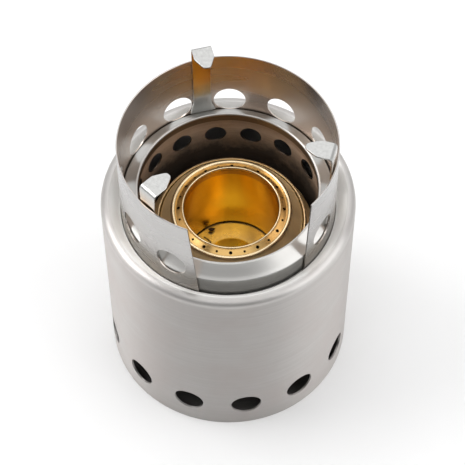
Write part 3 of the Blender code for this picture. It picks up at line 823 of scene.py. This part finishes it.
def burner_well():
    """Straight wall of the well and its floor, which has one pressed groove."""
    low, high = span("burner_well_wall")
    thick = 0.6
    lathe("burner_well_wall", [(WELL_R, low[2]), (WELL_R + thick, low[2]),
                               (WELL_R + thick, high[2]), (WELL_R, high[2])],
          160, LOOK["well"], BURNER_X)
    low, high = span("burner_floor")
    edge, groove = 25.5, 11.6
    lathe("burner_floor", [(0.0, low[2]), (edge, low[2]), (edge, high[2]),
                           (groove + 0.4, high[2]), (groove, high[2] - 0.12),
                           (groove - 0.4, high[2]), (0.0, high[2])],
          96, LOOK["well_floor"], BURNER_X)


def wick_tuft():
    """A frayed scrap of wick: short strands fanned over a low mound, and one loose strand."""
    low, high = span("burner_wick_tuft")
    cx, cy, floor = (low[0] + high[0]) / 2, (low[1] + high[1]) / 2, low[2]
    golden, golden_turn = 0.618034, 2.399963
    strands, sides, steps = 34, 5, 5
    around = [math.tau * j / sides for j in range(sides)]
    verts, faces = [], []
    for strand in range(strands):
        turn = strand * golden_turn
        reach = 0.5 + 1.7 * ((strand * golden) % 1.0)
        rise = 0.5 + 1.3 * ((strand * (1 - golden) + 0.2) % 1.0)
        rings = []
        for k in range(steps + 1):
            f = k / steps
            r, bent, thick = reach * f, turn + 0.6 * f, 0.26 * (1 - 0.6 * f)
            x, y = cx + r * math.cos(bent), cy + 0.66 * r * math.sin(bent)
            z = floor + 0.25 + (rise - 0.25) * math.sin(f * 2.2)
            rings.append([(x + thick * math.cos(a), y + thick * math.sin(a), z + thick * f)
                          for a in around])
        tube(verts, faces, rings)

    fibre, rings = 0.17, []
    for k in range(steps + 1):
        f = k / steps
        wave = 0.25 * math.sin(3.0 * f)
        x, y = cx - 3.6 + 3.3 * f + wave, cy - 3.0 - 3.3 * f + wave
        sideways = [fibre * math.cos(a) * math.sqrt(0.5) for a in around]
        rings.append([(x + side, y + side, floor + fibre * (1.0 + math.sin(a)))
                      for side, a in zip(sideways, around)])
    tube(verts, faces, rings)
    add_piece("burner_wick_tuft", verts, faces, LOOK["wick"])


def studio_floor():
    """Pale floor that the stove stands on."""
    size = 3.0
    mesh = bpy.data.meshes.new("studio_floor")
    mesh.from_pydata([(-size, -size, 0.0), (size, -size, 0.0), (size, size, 0.0),
                      (-size, size, 0.0)], [], [(0, 1, 2, 3)])
    mesh.materials.append(LOOK["backdrop"])
    ground = bpy.data.objects.new("studio_floor", mesh)
    bpy.context.collection.objects.link(ground)


LIGHT_AIM = Vector((0.0, 0.0, 0.07))


def area_light(name, place, width, height, power):
    """A rectangular soft light turned towards the middle of the stove, all in metres."""
    data = bpy.data.lights.new(name, "AREA")
    data.shape, data.size, data.size_y = "RECTANGLE", width, height
    data.energy = power
    light = bpy.data.objects.new(name, data)
    light.location = place
    light.rotation_mode = "QUATERNION"
    light.rotation_quaternion = (Vector(place) - LIGHT_AIM).to_track_quat("Z", "Y")
    bpy.context.collection.objects.link(light)


def surroundings():
    """White all round, dim behind the camera and bright behind and above the stove."""
    world = bpy.data.worlds.new("studio")
    bpy.context.scene.world = world
    world.use_nodes = True
    tree = world.node_tree
    place = tree.nodes.new("ShaderNodeTexCoord")
    split = tree.nodes.new("ShaderNodeSeparateXYZ")
    tree.links.new(place.outputs["Generated"], split.inputs[0])
    rise = tree.nodes.new("ShaderNodeMath")
    rise.operation = "MULTIPLY_ADD"
    tree.links.new(split.outputs[2], rise.inputs[0])
    rise.inputs[1].default_value = 0.4      # how much height counts against depth
    tree.links.new(split.outputs[1], rise.inputs[2])
    front = tree.nodes.new("ShaderNodeMapRange")
    front.interpolation_type = "SMOOTHSTEP"
    for name, number in (("From Min", -0.85), ("From Max", -0.15),
                         ("To Min", 0.08), ("To Max", 0.72)):
        front.inputs[name].default_value = number
    tree.links.new(rise.outputs[0], front.inputs["Value"])
    tree.links.new(front.outputs["Result"], tree.nodes["Background"].inputs["Strength"])
    tree.nodes["Background"].inputs["Color"].default_value = (1.0, 1.0, 1.0, 1.0)
    bpy.context.scene.view_settings.view_transform = "Standard"


def camera():
    """Camera high in front of the stove, looking down into it."""
    elevation, roll, distance = math.radians(56.26), math.radians(-0.21), 0.7718
    aim = Vector((0.00178, 0.0, 0.07405))
    forward = Vector((0.0, math.cos(elevation), -math.sin(elevation)))
    side = Vector((1.0, 0.0, 0.0))
    up = side.cross(forward)
    side, up = (side * math.cos(roll) + up * math.sin(roll),
                up * math.cos(roll) - side * math.sin(roll))
    data = bpy.data.cameras.new("camera")
    data.sensor_width = 36.0
    data.lens = 137.34
    data.clip_start, data.clip_end = 0.01, 20.0
    cam = bpy.data.objects.new("camera", data)
    turn = Matrix((side, up, -forward)).transposed()
    cam.matrix_world = Matrix.Translation(aim - forward * distance) @ turn.to_4x4()
    bpy.context.collection.objects.link(cam)
    bpy.context.scene.camera = cam


outer_shell()
collar_and_brim()
firebox()
base_plate()
ash_pan()
for post in (1, 2, 3):
    dress(f"ash_pan_post_{post}", LOOK["floor"])
grate()
cooking_ring()
pot_supports()
burner_cup()
thread_collar()
jet_ring()
burner_well()
dress("burner_wick_sleeve", LOOK["wick"])
wick_tuft()
studio_floor()
area_light("key_left", (-0.85, 0.15, 1.05), 0.8, 0.8, 6.5)
area_light("fill_right", (1.0, -0.3, 0.8), 1.2, 1.2, 5.6)
area_light("top_back", (0.05, 0.75, 1.1), 1.6, 1.2, 3.5)
area_light("top_front", (0.0, -0.45, 1.35), 1.0, 0.5, 1.8)
surroundings()
camera()
